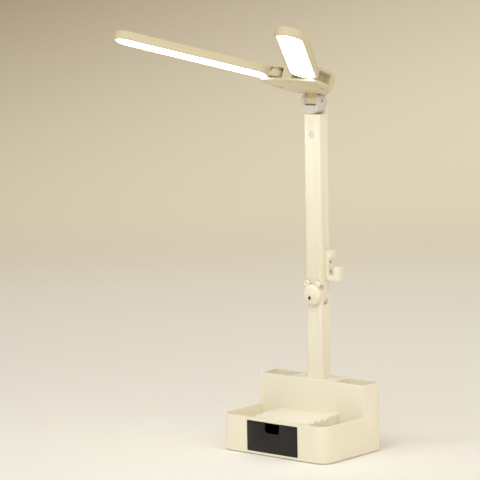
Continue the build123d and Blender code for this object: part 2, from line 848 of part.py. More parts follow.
def make_hub_base():
    """Lower hub plate: floor under both panel roots, with the tongue of the tilt joint."""
    plate = extrude(Pos(0, 0, hub_under) * hub_outline(), hub_floor)
    plate -= block(-beyond, beyond, -hub_plate_tail, beyond, -beyond, beyond)
    plate = fillet(plate.edges().filter_by_position(Axis.Z, hub_under, hub_under), frame_edge)
    for side in (-1, 1):
        x = side * pivot_spread / 2
        plate += rod_z(x, 0, -hub_floor_drop, tab_low - tab_gap, hinge_boss_radius)
        plate -= rod_z(x, 0, hub_under + hinge_pin_skin, tab_low, hinge_pin_radius)
    for x, y in hub_screw_places():
        plate -= screw_up(x, y, hub_under, hub_floor)
    plate = on_led_plane(plate)
    half = tilt_slot / 2 - tilt_slot_gap
    tongue = rod_x(0, 0, -half, half, tongue_radius)
    tongue += block(-half, half, -neck_half, neck_half, 0, led_rise + hub_under + hub_floor / 2)
    tongue -= rod_x(0, 0, -half, half, pin_radius + pin_gap)
    return in_head(plate + tongue)


def make_hub_screws():
    """Three countersunk screws from below."""
    tip = -hub_floor_drop + hub_screw_reach
    return [in_head(on_led_plane(screw_up(x, y, hub_under, tip))) for x, y in hub_screw_places()]


def make_hinge_pins():
    """Two pins that the light panels turn on."""
    pin = rod_z(0, 0, hub_under + hinge_pin_skin, hub_height - hinge_pin_cover, hinge_pin_radius)
    return [in_head(on_led_plane(Pos(side * pivot_spread / 2, 0, 0) * pin)) for side in (-1, 1)]


def in_panel(side, solid):
    """Place a solid drawn about a panel's pivot, pointing to -Y, on the left (-1) or right (1)."""
    swing = right_swing if side > 0 else -left_swing
    return in_head(on_led_plane(Pos(side * pivot_spread / 2, 0, 0) * Rot(Z=swing) * solid))


def panel_bar(inset, z0, z1):
    """Long round-ended bar of the light panel, drawn in by an inset."""
    length = panel_reach - panel_root - 2 * inset
    centre = -(panel_reach + panel_root) / 2
    sketch = SlotOverall(length, panel_width - 2 * inset, rotation=90)
    return extrude(Pos(0, centre, z0) * sketch, z1 - z0)


def make_panel_frame(side):
    """Lower panel frame: rim round the light window, ledge for the diffuser, and the hinge tab."""
    frame = panel_bar(0, 0, panel_split)
    frame = fillet(frame.faces().sort_by(Axis.Z)[0].edges(), frame_edge)
    seat = diffuser_inset + diffuser_thickness
    frame -= panel_bar(panel_rim + diffuser_lap, -overcut, seat)
    frame -= panel_bar(panel_rim, diffuser_inset + diffuser_step, panel_split + overcut)
    tab = rod_z(0, 0, tab_low, tab_high, tab_radius)
    tab += block(-tab_radius, tab_radius, -panel_root, 0, tab_low, tab_high)
    neck = block(-tab_radius, tab_radius, -panel_root - panel_rim, -panel_root, tab_low, panel_split)
    tab += neck - panel_bar(panel_rim, 0, panel_split)
    tab -= panel_bar(-tab_gap, panel_split, panel_thickness)
    frame += tab
    frame -= rod_z(0, 0, tab_low, tab_high, hinge_pin_radius + pin_gap)
    return in_panel(side, frame)


def make_panel_cover(side):
    """Upper panel cover: shallow lid with a soft edge."""
    cover = panel_bar(0, panel_split, panel_thickness)
    cover = fillet(cover.faces().sort_by(Axis.Z)[-1].edges(), panel_edge)
    cover -= panel_bar(panel_rim, panel_split, panel_thickness - cover_shell)
    return in_panel(side, cover)


def make_diffuser(side):
    """Opal light window seated behind the frame's rim."""
    seat = diffuser_inset + diffuser_step
    window = panel_bar(panel_rim + diffuser_lap + diffuser_fit, diffuser_inset, seat)
    window += panel_bar(panel_rim + diffuser_fit, seat, diffuser_inset + diffuser_thickness)
    return in_panel(side, window)


def make_led_board(side):
    """Aluminium strip board with a row of chips facing the diffuser."""
    low = diffuser_inset + diffuser_thickness + led_height
    inset = panel_rim + led_board_inset
    board = panel_bar(inset, low, low + led_board_thickness)
    skirt = panel_bar(inset, low, panel_thickness - cover_shell)
    board += skirt - panel_bar(inset + led_board_skirt, low, panel_thickness)
    first = -panel_root_u
    step = (panel_tip_u - panel_root_u) / (led_count - 1)
    half = led_size / 2
    for chip in range(led_count):
        y = first - chip * step
        board += block(-half, half, y - half, y + half, low - led_height, low)
    return in_panel(side, board)


def save(name, piece):
    """Write one piece, or a group of like solids, under its own name."""
    solids = piece if isinstance(piece, list) else [piece]
    shape = Compound(children=solids) if len(solids) > 1 else solids[0]
    shape.label = name
    export_step(shape, f"parts/{name}.step")


def main():
    """Build every piece and write it out."""
    save("base_shell", make_base_shell())
    save("phone_rest", make_phone_rest())
    save("drawer", make_drawer())
    save("bottom_plate", make_bottom_plate())
    save("base_feet", make_base_feet())
    plate_screws = four_corners(plate_screw_x, plate_screw_y)
    save("base_screws", [screw_up(x, y, stand, plate_screw_top) for x, y in plate_screws])
    save("ballast_bars", make_ballast_bars())
    save("column_socket", make_column_socket())
    save("socket_screws", make_socket_screws())
    save("battery_pack", make_battery_pack())
    save("charging_board", make_charging_board())
    save("charging_inlet", make_charging_inlet())
    save("lower_column", make_lower_column())
    save("elbow_bolt", make_elbow_bolt())
    save("elbow_nut", nut_blank() - rod_y(0, elbow_z, column_front, column_back, bolt_radius))
    save("elbow_rear_cap", make_elbow_rear_cap())
    save("elbow_face", make_elbow_face())
    save("nose", make_nose())
    save("elbow_washers", make_elbow_washers())
    save("upper_column", make_upper_column())
    save("column_back_cover", make_column_back_cover())
    save("cover_screws", [cover_screw(z) for z in cover_screw_z])
    save("touch_pad", rod_y(0, touch_z, column_front, column_front + touch_thickness, touch_radius))
    save("touch_board", make_touch_board())
    save("side_hook", make_side_hook())
    save("hook_screws", [hook_screw(z) for z in hook_screw_heights()])
    save("knuckle", make_knuckle())
    save("swivel_screw", make_swivel_screw())
    save("tilt_pin", make_tilt_pin())
    save("hub_base", make_hub_base())
    save("hub_cover", make_hub_cover())
    save("hub_screws", make_hub_screws())
    save("hinge_pins", make_hinge_pins())
    for side, hand in ((-1, "left"), (1, "right")):
        save(f"{hand}_panel_frame", make_panel_frame(side))
        save(f"{hand}_panel_cover", make_panel_cover(side))
        save(f"{hand}_diffuser", make_diffuser(side))
        save(f"{hand}_led_board", make_led_board(side))


main()
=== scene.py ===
import logging
import math
from dataclasses import dataclass, field
from enum import Enum

import bmesh
import bpy
from mathutils import Matrix, Vector


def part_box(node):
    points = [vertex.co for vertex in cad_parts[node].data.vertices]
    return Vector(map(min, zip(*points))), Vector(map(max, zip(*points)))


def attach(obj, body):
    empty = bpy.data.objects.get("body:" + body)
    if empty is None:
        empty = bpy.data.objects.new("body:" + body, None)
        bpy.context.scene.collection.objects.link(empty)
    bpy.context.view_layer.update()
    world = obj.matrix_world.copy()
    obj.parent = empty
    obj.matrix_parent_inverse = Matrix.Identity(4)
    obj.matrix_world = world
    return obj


log = logging.getLogger("desk_lamp")
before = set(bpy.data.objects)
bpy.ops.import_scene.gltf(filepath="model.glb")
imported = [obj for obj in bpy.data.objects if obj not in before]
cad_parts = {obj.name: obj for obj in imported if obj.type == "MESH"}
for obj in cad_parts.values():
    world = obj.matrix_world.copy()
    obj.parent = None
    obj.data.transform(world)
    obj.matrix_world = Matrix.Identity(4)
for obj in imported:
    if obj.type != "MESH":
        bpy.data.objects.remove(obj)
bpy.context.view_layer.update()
MM = 0.001


class Finish(Enum):
    """Names of the finishes used on the lamp."""

    IVORY = "ivory"
    # ivory darkened and warmed for the head and panels: painted shade
    CREAM = "ivory_head"
    # a greyer, darker ivory for the knuckle: painted shade under the hub
    PEARL = "pearl"
    SMOKE = "smoke"
    STEEL = "steel"
    RUBBER = "rubber"
    DARK = "dark"
    OPAL = "opal"
    BOARD = "board"
    NYLON = "nylon"
    CELL = "cell"
    TOUCH = "touch"


class Side(Enum):
    """The lamp's two hands, seen from the front."""

    LEFT = -1
    RIGHT = 1


# ---------------------------------------------------------------- shared shader groups


def new_group(name: str, inputs: dict[str, float], outputs: dict[str, str]) -> bpy.types.NodeTree:
    """Start a shader node group with named float inputs and typed outputs.

    Args:
        name: Name of the group.
        inputs: Default value of each input.
        outputs: Socket type of each output.

    Returns:
        The empty group.
    """
    group = bpy.data.node_groups.new(name, "ShaderNodeTree")
    for label, value in inputs.items():
        socket = group.interface.new_socket(label, in_out="INPUT", socket_type="NodeSocketFloat")
        socket.default_value = value
    for label, kind in outputs.items():
        group.interface.new_socket(label, in_out="OUTPUT", socket_type=kind)
    return group


def add(tree: bpy.types.NodeTree, kind: str, **settings: object) -> bpy.types.Node:
    """Add a node and set its properties.

    Args:
        tree: Tree that gets the node.
        kind: Node type.
        settings: Attribute names and values.

    Returns:
        The new node.
    """
    node = tree.nodes.new(kind)
    for key, value in settings.items():
        setattr(node, key, value)
    return node


def math_node(tree: bpy.types.NodeTree, operation: str, first: object, second: object) -> bpy.types.NodeSocket:
    """Combine two values, each a socket or a number.

    Args:
        tree: Tree that gets the node.
        operation: Math operation.
        first: First operand.
        second: Second operand.

    Returns:
        The result's socket.
    """
    node = add(tree, "ShaderNodeMath", operation=operation)
    for socket, value in zip(node.inputs, (first, second)):
        if isinstance(value, bpy.types.NodeSocket):
            tree.links.new(value, socket)
        else:
            socket.default_value = value
    return node.outputs[0]


def moulded_grain_group() -> bpy.types.NodeTree:
    """Build the fine spark-eroded grain and slow mottling of a moulded plastic skin.

    Returns:
        A group that puts out a height for bump, a tone mask and a roughness.
    """
    group = new_group(
        "moulded_grain",
        {"Grain Size": 1.0, "Grain Depth": 1.0, "Roughness Base": 0.5, "Roughness Spread": 0.1},
        {"Height": "NodeSocketFloat", "Tone": "NodeSocketFloat", "Roughness": "NodeSocketFloat"},
    )
    tree = group
    source = add(tree, "NodeGroupInput")
    out = add(tree, "NodeGroupOutput")
    place = add(tree, "ShaderNodeTexCoord")
    scale = math_node(tree, "DIVIDE", 2600.0, source.outputs["Grain Size"])
    grain = add(tree, "ShaderNodeTexNoise", noise_dimensions="3D")
    grain.inputs["Detail"].default_value = 4.0
    grain.inputs["Roughness"].default_value = 0.6
    tree.links.new(place.outputs["Object"], grain.inputs["Vector"])
    tree.links.new(scale, grain.inputs["Scale"])
    pits = add(tree, "ShaderNodeTexVoronoi", feature="SMOOTH_F1")
    tree.links.new(place.outputs["Object"], pits.inputs["Vector"])
    tree.links.new(scale, pits.inputs["Scale"])
    both = math_node(tree, "ADD", grain.outputs["Fac"], pits.outputs["Distance"])
    tree.links.new(math_node(tree, "MULTIPLY", both, source.outputs["Grain Depth"]), out.inputs["Height"])
    flow = add(tree, "ShaderNodeTexNoise")
    flow.inputs["Scale"].default_value = 22.0
    flow.inputs["Detail"].default_value = 3.0
    tree.links.new(place.outputs["Object"], flow.inputs["Vector"])
    tree.links.new(flow.outputs["Fac"], out.inputs["Tone"])
    centred = math_node(tree, "SUBTRACT", flow.outputs["Fac"], 0.5)
    spread = math_node(tree, "MULTIPLY", centred, source.outputs["Roughness Spread"])
    tree.links.new(math_node(tree, "ADD", spread, source.outputs["Roughness Base"]), out.inputs["Roughness"])
    return group


def edge_and_dust_group() -> bpy.types.NodeTree:
    """Build the painted highlight on convex edges and the faint dust on upward faces.

    Returns:
        A group that puts out an edge highlight mask and a dust mask.
    """
    group = new_group(
        "edge_and_dust",
        {"Edge Amount": 0.3, "Dust Amount": 0.2},
        {"Edge": "NodeSocketFloat", "Dust": "NodeSocketFloat"},
    )
    tree = group
    source = add(tree, "NodeGroupInput")
    out = add(tree, "NodeGroupOutput")
    geometry = add(tree, "ShaderNodeNewGeometry")
    # painted highlight: pointiness marks the convex edges, which get lightened
    ramp = add(tree, "ShaderNodeMapRange")
    ramp.inputs["From Min"].default_value = 0.52
    ramp.inputs["From Max"].default_value = 0.62
    tree.links.new(geometry.outputs["Pointiness"], ramp.inputs["Value"])
    tree.links.new(math_node(tree, "MULTIPLY", ramp.outputs["Result"], source.outputs["Edge Amount"]), out.inputs["Edge"])
    place = add(tree, "ShaderNodeTexCoord")
    specks = add(tree, "ShaderNodeTexNoise")
    specks.inputs["Scale"].default_value = 160.0
    specks.inputs["Detail"].default_value = 6.0
    tree.links.new(place.outputs["Object"], specks.inputs["Vector"])
    up = add(tree, "ShaderNodeSeparateXYZ")
    tree.links.new(geometry.outputs["Normal"], up.inputs[0])
    level = add(tree, "ShaderNodeMapRange")
    level.inputs["From Min"].default_value = 0.6
    level.inputs["From Max"].default_value = 1.0
    tree.links.new(up.outputs["Z"], level.inputs["Value"])
    settled = math_node(tree, "MULTIPLY", level.outputs["Result"], specks.outputs["Fac"])
    tree.links.new(math_node(tree, "MULTIPLY", settled, source.outputs["Dust Amount"]), out.inputs["Dust"])
    return group


@dataclass(frozen=True)
class MouldedPlastic:
    """Opaque moulded plastic: grained skin, slow mottling, a painted highlight on convex edges and a little dust."""

    name: Finish
    base: tuple[float, float, float]
    shade: tuple[float, float, float]
    dust: tuple[float, float, float]
    roughness: float
    spread: float
    grain_size: float
    bump: float
    specular: float
    coat: float

    def build(self, groups: dict[str, bpy.types.NodeTree]) -> bpy.types.Material:
        """Make the material.

        Args:
            groups: Shared shader groups by name.

        Returns:
            The finished material.
        """
        material, tree, shader = start_material(self.name.value)
        grain = add(tree, "ShaderNodeGroup", node_tree=groups["moulded_grain"])
        grain.inputs["Grain Size"].default_value = self.grain_size
        grain.inputs["Roughness Base"].default_value = self.roughness
        grain.inputs["Roughness Spread"].default_value = self.spread
        dust_and_edge_highlight = add(tree, "ShaderNodeGroup", node_tree=groups["edge_and_dust"])
        tone = mix_colour(tree, grain.outputs["Tone"], self.base, self.shade)
        dusty = mix_colour(tree, dust_and_edge_highlight.outputs["Dust"], tone, self.dust)
        # painted highlight: convex edges are mixed towards a lighter copy of the base colour
        edge_highlight_colour = tuple(min(1.0, channel * 1.12) for channel in self.base)
        highlighted_edges = mix_colour(tree, dust_and_edge_highlight.outputs["Edge"], dusty, edge_highlight_colour)
        tree.links.new(highlighted_edges, shader.inputs["Base Color"])
        tree.links.new(grain.outputs["Roughness"], shader.inputs["Roughness"])
        link_bump(tree, grain.outputs["Height"], shader, self.bump)
        shader.inputs["Specular IOR Level"].default_value = self.specular
        shader.inputs["Coat Weight"].default_value = self.coat
        shader.inputs["Coat Roughness"].default_value = 0.25
        return material


@dataclass(frozen=True)
class SmokyPlastic:
    """See-through smoky plastic of the drawer, with fine flow haze and a fine grain."""

    name: Finish
    tint: tuple[float, float, float]
    haze: tuple[float, float, float]
    roughness: float
    transmission: float

    def build(self, groups: dict[str, bpy.types.NodeTree]) -> bpy.types.Material:
        """Make the material.

        Args:
            groups: Shared shader groups by name.

        Returns:
            The finished material.
        """
        material, tree, shader = start_material(self.name.value)
        grain = add(tree, "ShaderNodeGroup", node_tree=groups["moulded_grain"])
        grain.inputs["Grain Size"].default_value = 3.0
        grain.inputs["Roughness Base"].default_value = self.roughness
        grain.inputs["Roughness Spread"].default_value = 0.08
        tint = mix_colour(tree, grain.outputs["Tone"], self.tint, self.haze)
        tree.links.new(tint, shader.inputs["Base Color"])
        tree.links.new(grain.outputs["Roughness"], shader.inputs["Roughness"])
        link_bump(tree, grain.outputs["Height"], shader, 0.02)
        shader.inputs["IOR"].default_value = 1.49
        shader.inputs["Specular IOR Level"].default_value = 0.3
        shader.inputs["Transmission Weight"].default_value = self.transmission
        return material


@dataclass(frozen=True)
class BrushedMetal:
    """Plated steel with fine brushing."""

    name: Finish
    base: tuple[float, float, float]
    shade: tuple[float, float, float]
    roughness: float

    def build(self, groups: dict[str, bpy.types.NodeTree]) -> bpy.types.Material:
        """Make the material.

        Args:
            groups: Shared shader groups by name; not used.

        Returns:
            The finished material.
        """
        material, tree, shader = start_material(self.name.value)
        place = add(tree, "ShaderNodeTexCoord")
        stretch = add(tree, "ShaderNodeMapping")
        stretch.inputs["Scale"].default_value = (1.0, 1.0, 14.0)
        tree.links.new(place.outputs["Object"], stretch.inputs["Vector"])
        brush = add(tree, "ShaderNodeTexNoise")
        brush.inputs["Scale"].default_value = 380.0
        brush.inputs["Detail"].default_value = 5.0
        tree.links.new(stretch.outputs["Vector"], brush.inputs["Vector"])
        tree.links.new(mix_colour(tree, brush.outputs["Fac"], self.base, self.shade), shader.inputs["Base Color"])
        rough = math_node(tree, "MULTIPLY", brush.outputs["Fac"], 0.2)
        tree.links.new(math_node(tree, "ADD", rough, self.roughness), shader.inputs["Roughness"])
        shader.inputs["Metallic"].default_value = 1.0
        link_bump(tree, brush.outputs["Fac"], shader, 0.05)
        return material


@dataclass(frozen=True)
class LitOpal:
    """Opal light window, glowing evenly with a slight random mottling."""

    name: Finish
    glow: tuple[float, float, float]
    strength: float

    def build(self, groups: dict[str, bpy.types.NodeTree]) -> bpy.types.Material:
        """Make the material.

        Args:
            groups: Shared shader groups by name.

        Returns:
            The finished material.
        """
        material, tree, shader = start_material(self.name.value)
        grain = add(tree, "ShaderNodeGroup", node_tree=groups["moulded_grain"])
        grain.inputs["Grain Size"].default_value = 2.0
        grain.inputs["Roughness Base"].default_value = 0.45
        dimmer = tuple(channel * 0.96 for channel in self.glow)
        glow = mix_colour(tree, grain.outputs["Tone"], self.glow, dimmer)
        tree.links.new(glow, shader.inputs["Base Color"])
        tree.links.new(glow, shader.inputs["Emission Color"])
        tree.links.new(grain.outputs["Roughness"], shader.inputs["Roughness"])
        link_bump(tree, grain.outputs["Height"], shader, 0.02)
        shader.inputs["Emission Strength"].default_value = self.strength
        return material


def start_material(name: str) -> tuple[bpy.types.Material, bpy.types.NodeTree, bpy.types.Node]:
    """Make a material that holds only its main shader.

    Args:
        name: Name of the material.

    Returns:
        The material, its node tree and its main shader.
    """
    material = bpy.data.materials.new(name)
    material.use_nodes = True
    shader = material.node_tree.nodes["Principled BSDF"]
    return material, material.node_tree, shader


def mix_colour(tree: bpy.types.NodeTree, factor: object, first: object, second: object) -> bpy.types.NodeSocket:
    """Mix two colours, each a socket or a colour.

    Args:
        tree: Tree that gets the node.
        factor: Socket that drives the mix.
        first: Colour at factor 0.
        second: Colour at factor 1.

    Returns:
        The mixed colour's socket.
    """
    node = add(tree, "ShaderNodeMix", data_type="RGBA")
    tree.links.new(factor, node.inputs["Factor"])
    for index, value in ((6, first), (7, second)):
        if isinstance(value, bpy.types.NodeSocket):
            tree.links.new(value, node.inputs[index])
        else:
            node.inputs[index].default_value = (*value, 1.0)
    return node.outputs[2]


def link_bump(tree: bpy.types.NodeTree, height: bpy.types.NodeSocket, shader: bpy.types.Node, strength: float) -> None:
    """Feed a height into the shader's normal.

    Args:
        tree: The material's node tree.
        height: Socket with the height.
        shader: Main shader.
        strength: Strength of the bump.
    """
    bump = add(tree, "ShaderNodeBump")
    bump.inputs["Strength"].default_value = strength
    bump.inputs["Distance"].default_value = 0.1 * MM
    tree.links.new(height, bump.inputs["Height"])
    tree.links.new(bump.outputs["Normal"], shader.inputs["Normal"])


FINISHES = (
    MouldedPlastic(Finish.IVORY, (0.86, 0.81, 0.665), (0.83, 0.775, 0.63), (0.78, 0.75, 0.68), 0.48, 0.10, 1.0, 0.10, 0.42, 0.06),
    # the head's ivory, darkened and warmed as painted shade
    MouldedPlastic(Finish.CREAM, (0.69, 0.615, 0.43), (0.665, 0.585, 0.40), (0.66, 0.61, 0.49), 0.45, 0.10, 1.0, 0.10, 0.42, 0.08),
    # the knuckle's ivory, greyed and darkened as painted shade under the hub
    MouldedPlastic(Finish.PEARL, (0.66, 0.64, 0.585), (0.63, 0.61, 0.55), (0.62, 0.6, 0.56), 0.46, 0.10, 1.0, 0.10, 0.42, 0.06),
    SmokyPlastic(Finish.SMOKE, (0.010, 0.0085, 0.006), (0.015, 0.013, 0.010), 0.30, 0.35),
    BrushedMetal(Finish.STEEL, (0.62, 0.61, 0.58), (0.5, 0.5, 0.48), 0.26),
    MouldedPlastic(Finish.RUBBER, (0.05, 0.05, 0.05), (0.07, 0.07, 0.068), (0.2, 0.19, 0.17), 0.8, 0.1, 1.6, 0.25, 0.3, 0.0),
    MouldedPlastic(Finish.DARK, (0.012, 0.010, 0.008), (0.02, 0.017, 0.014), (0.03, 0.03, 0.03), 0.18, 0.05, 2.0, 0.03, 0.5, 0.4),
    LitOpal(Finish.OPAL, (0.97, 0.985, 1.0), 9.0),
    MouldedPlastic(Finish.BOARD, (0.05, 0.2, 0.1), (0.06, 0.24, 0.12), (0.2, 0.2, 0.18), 0.4, 0.1, 1.5, 0.1, 0.5, 0.2),
    MouldedPlastic(Finish.NYLON, (0.8, 0.79, 0.74), (0.76, 0.75, 0.7), (0.7, 0.7, 0.66), 0.5, 0.1, 1.2, 0.1, 0.4, 0.0),
    MouldedPlastic(Finish.CELL, (0.1, 0.2, 0.4), (0.12, 0.22, 0.42), (0.3, 0.3, 0.3), 0.35, 0.1, 1.5, 0.05, 0.5, 0.2),
    MouldedPlastic(Finish.TOUCH, (0.68, 0.67, 0.62), (0.66, 0.65, 0.6), (0.6, 0.6, 0.56), 0.22, 0.05, 3.0, 0.02, 0.5, 0.3),
)


def build_finishes() -> dict[Finish, bpy.types.Material]:
    """Build every finish.

    Returns:
        Material of each finish.
    """
    groups = {"moulded_grain": moulded_grain_group(), "edge_and_dust": edge_and_dust_group()}
    return {finish.name: finish.build(groups) for finish in FINISHES}


# ---------------------------------------------------------------- mesh helpers


def dress_node(name: str, material: bpy.types.Material, bevel: float = 0.0) -> bpy.types.Object:
    """Give a construction piece its finish, smooth shading and a small softened edge.

    Args:
        name: Name of the piece.
        material: Its finish.
        bevel: Width of the softened edge, in metres, or 0 for none.

    Returns:
        The piece.
    """
    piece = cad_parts[name]
    piece.data.materials.clear()
    piece.data.materials.append(material)
    for polygon in piece.data.polygons:
        polygon.use_smooth = True
        polygon.material_index = 0
    weld = piece.modifiers.new("weld", "WELD")
    weld.merge_threshold = 0.002 * MM
    if bevel > 0.0:
        soft = piece.modifiers.new("soft_edge", "BEVEL")
        soft.width = bevel
        soft.segments = 2
        soft.limit_method = "ANGLE"
        soft.angle_limit = math.radians(40)
        soft.harden_normals = False
    split = piece.modifiers.new("shade_split", "EDGE_SPLIT")
    split.split_angle = math.radians(38)
    return piece


def mesh_piece(name: str, mesh: bmesh.types.BMesh, material: bpy.types.Material, body: str) -> bpy.types.Object:
    """Turn a built mesh into a piece of the lamp that rides on a body.

    Args:
        name: Name of the new piece.
        mesh: Its mesh, in the lamp's frame, in metres.
        material: Its finish.
        body: Body that carries it.

    Returns:
        The new piece.
    """
    data = bpy.data.meshes.new(name)
    bmesh.ops.recalc_face_normals(mesh, faces=mesh.faces)
    mesh.to_mesh(data)
    mesh.free()
    piece = bpy.data.objects.new(name, data)
    bpy.context.scene.collection.objects.link(piece)
    data.materials.append(material)
    for polygon in data.polygons:
        polygon.use_smooth = True
    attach(piece, body)
    return piece


def turned(mesh: bmesh.types.BMesh, place: Matrix, profile: list[tuple[float, float]], steps: int = 48) -> None:
    """Add a turned shape: a profile of radius and height spun about the place's Z axis.

    Args:
        mesh: Mesh that gets the shape.
        place: Where its axis stands, in metres.
        profile: Radius and height of each ring, in millimetres; a radius of 0 closes an end.
        steps: Number of points round.
    """
    rings = []
    for radius, height in profile:
        if radius == 0.0:
            rings.append([mesh.verts.new(place @ Vector((0.0, 0.0, height * MM)))])
            continue
        ring = []
        for step in range(steps):
            angle = 2 * math.pi * step / steps
            point = Vector((radius * math.cos(angle), radius * math.sin(angle), height)) * MM
            ring.append(mesh.verts.new(place @ point))
        rings.append(ring)
    for lower, upper in zip(rings, rings[1:]):
        for step in range(steps):
            after = (step + 1) % steps
            corners = [lower[step % len(lower)], lower[after % len(lower)], upper[after % len(upper)], upper[step % len(upper)]]
            unique = list(dict.fromkeys(corners))
            if len(unique) > 2:
                mesh.faces.new(unique)


# ---------------------------------------------------------------- sub-assemblies


@dataclass
class OrganizerBase:
    """Shell, phone rest, plate, feet and what the base holds."""

    shell_nodes: tuple[str, ...] = ("base_shell", "phone_rest", "bottom_plate")
    steel_nodes: tuple[str, ...] = ("base_screws", "ballast_bars", "socket_screws", "charging_inlet")
    edge: float = 0.35 * MM

    def build(self, finishes: dict[Finish, bpy.types.Material]) -> list[bpy.types.Object]:
        """Dress the base.

        Args:
            finishes: Material of each finish.

        Returns:
            The dressed pieces.
        """
        pieces = [dress_node(name, finishes[Finish.IVORY], self.edge) for name in self.shell_nodes]
        pieces += [dress_node(name, finishes[Finish.STEEL]) for name in self.steel_nodes]
        pieces.append(dress_node("base_feet", finishes[Finish.RUBBER]))
        pieces.append(dress_node("battery_pack", finishes[Finish.CELL]))
        pieces.append(dress_node("charging_board", finishes[Finish.BOARD]))
        pieces.append(dress_node("column_socket", finishes[Finish.NYLON]))
        return pieces


@dataclass
class Drawer:
    """Smoky drawer in the front of the base."""

    edge: float = 0.3 * MM

    def build(self, finishes: dict[Finish, bpy.types.Material]) -> list[bpy.types.Object]:
        """Dress the drawer.

        Args:
            finishes: Material of each finish.

        Returns:
            The dressed drawer.
        """
        return [dress_node("drawer", finishes[Finish.SMOKE], self.edge)]


@dataclass
class Column:
    """Lower and upper column with the elbow, its cover, hook and touch spot."""

    edge: float = 0.3 * MM

    def build(self, finishes: dict[Finish, bpy.types.Material]) -> list[bpy.types.Object]:
        """Dress the column.

        Args:
            finishes: Material of each finish.

        Returns:
            The dressed pieces.
        """
        ivory = ("lower_column", "upper_column", "column_back_cover", "side_hook", "elbow_rear_cap")
        pieces = [dress_node(name, finishes[Finish.IVORY], self.edge) for name in ivory]
        steel = ("elbow_bolt", "elbow_nut", "cover_screws", "hook_screws", "swivel_screw")
        pieces += [dress_node(name, finishes[Finish.STEEL]) for name in steel]
        pieces.append(dress_node("elbow_washers", finishes[Finish.NYLON]))
        pieces.append(dress_node("touch_pad", finishes[Finish.TOUCH]))
        pieces.append(dress_node("touch_board", finishes[Finish.BOARD]))
        pieces.append(self.touch_ring(finishes[Finish.STEEL]))
        # painted shade: dark crosses on the hook's screw heads in place of cross recesses
        pieces.append(self.hook_crosses(finishes[Finish.DARK]))
        return pieces

    def touch_ring(self, material: bpy.types.Material) -> bpy.types.Object:
        """Make the fine bright ring let in round the touch spot.

        Args:
            material: Its finish.

        Returns:
            The ring.
        """
        low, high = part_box("touch_pad")
        centre = Vector(((low[0] + high[0]) / 2, low[1], (low[2] + high[2]) / 2))
        place = Matrix.Translation(centre) @ Matrix.Rotation(math.radians(90), 4, "X")
        radius = (high[0] - low[0]) / 2 / MM
        mesh = bmesh.new()
        turned(mesh, place, [(radius - 0.45, -0.05), (radius - 0.4, 0.05), (radius - 0.1, 0.05), (radius - 0.05, -0.05)])
        return mesh_piece("touch_ring", mesh, material, "upper_column")

    def hook_crosses(self, material: bpy.types.Material) -> bpy.types.Object:
        """Make dark crosses on the hook's two screw heads, painted shade that stands in for their cross recesses.

        Args:
            material: Their finish.

        Returns:
            The dark crosses.
        """
        low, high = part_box("hook_screws")
        head = 1.7 * MM
        across = (low[1] + high[1]) / 2
        mesh = bmesh.new()
        # painted shade: a thin dark cross laid flat on each screw head
        for height in (low[2] + head, high[2] - head):
            for size in ((0.06, 1.9, 0.45), (0.06, 0.45, 1.9)):
                place = Matrix.Translation((high[0], across, height)) @ Matrix.Diagonal((*(v * MM for v in size), 1.0))
                bmesh.ops.create_cube(mesh, size=1.0, matrix=place)
        return mesh_piece("hook_screw_painted_shade", mesh, material, "upper_column")


@dataclass
class ElbowFace:
    """Plain animal-head cap at the elbow."""

    edge: float = 0.2 * MM

    def build(self, finishes: dict[Finish, bpy.types.Material]) -> list[bpy.types.Object]:
        """Dress the cap and its nose.

        Args:
            finishes: Material of each finish.

        Returns:
            The dressed pieces.
        """
        cap = dress_node("elbow_face", finishes[Finish.IVORY])
        nose = dress_node("nose", finishes[Finish.DARK])
        return [cap, nose]


@dataclass
class Head:
    """Swivel knuckle, hub and its pins."""

    edge: float = 0.3 * MM

    def build(self, finishes: dict[Finish, bpy.types.Material]) -> list[bpy.types.Object]:
        """Dress the knuckle and hub.

        Args:
            finishes: Material of each finish.

        Returns:
            The dressed pieces.
        """
        # painted shade: the knuckle takes the greyed, darkened ivory
        pieces = [dress_node("knuckle", finishes[Finish.PEARL], self.edge)]
        # painted shade: the hub takes the darkened, warmed ivory
        pieces += [dress_node(name, finishes[Finish.CREAM], self.edge) for name in ("hub_base", "hub_cover")]
        pieces += [dress_node(name, finishes[Finish.STEEL]) for name in ("tilt_pin", "hub_screws", "hinge_pins")]
        # painted shade: dark crosses on the hub's screw heads in place of cross recesses
        pieces.append(self.screw_crosses(finishes[Finish.DARK]))
        return pieces

    def screw_crosses(self, material: bpy.types.Material) -> bpy.types.Object:
        """Make dark crosses on the three screw heads under the hub, painted shade that stands in for their cross
        recesses.

        Args:
            material: Their finish.

        Returns:
            The dark crosses.
        """
        head = Matrix.Translation(Vector((0.0, 28.0, 364.5)) * MM) @ Matrix.Rotation(math.radians(-21.2), 4, "X")
        mesh = bmesh.new()
        # painted shade: a thin dark cross laid flat on each screw head
        for x, y in ((0.0, -42.9), (-27.0, -21.7), (27.0, -21.7)):
            for size in ((2.6, 0.55, 0.06), (0.55, 2.6, 0.06)):
                place = head @ Matrix.Translation(Vector((x, y, 6.2)) * MM)
                bmesh.ops.create_cube(mesh, size=1.0, matrix=place @ Matrix.Diagonal((*(v * MM for v in size), 1.0)))
        return mesh_piece("hub_screw_painted_shade", mesh, material, "head")


@dataclass
class LightPanel:
    """One swinging light panel."""

    side: Side
    edge: float = 0.2 * MM

    def build(self, finishes: dict[Finish, bpy.types.Material]) -> list[bpy.types.Object]:
        """Dress the panel.

        Args:
            finishes: Material of each finish.

        Returns:
            The dressed pieces.
        """
        hand = self.side.name.lower()
        # painted shade: the panel casing takes the darkened, warmed ivory
        pieces = [dress_node(f"{hand}_panel_{part}", finishes[Finish.CREAM], self.edge) for part in ("frame", "cover")]
        pieces.append(dress_node(f"{hand}_diffuser", finishes[Finish.OPAL]))
        pieces.append(dress_node(f"{hand}_led_board", finishes[Finish.BOARD]))
        return pieces


# ---------------------------------------------------------------- stage


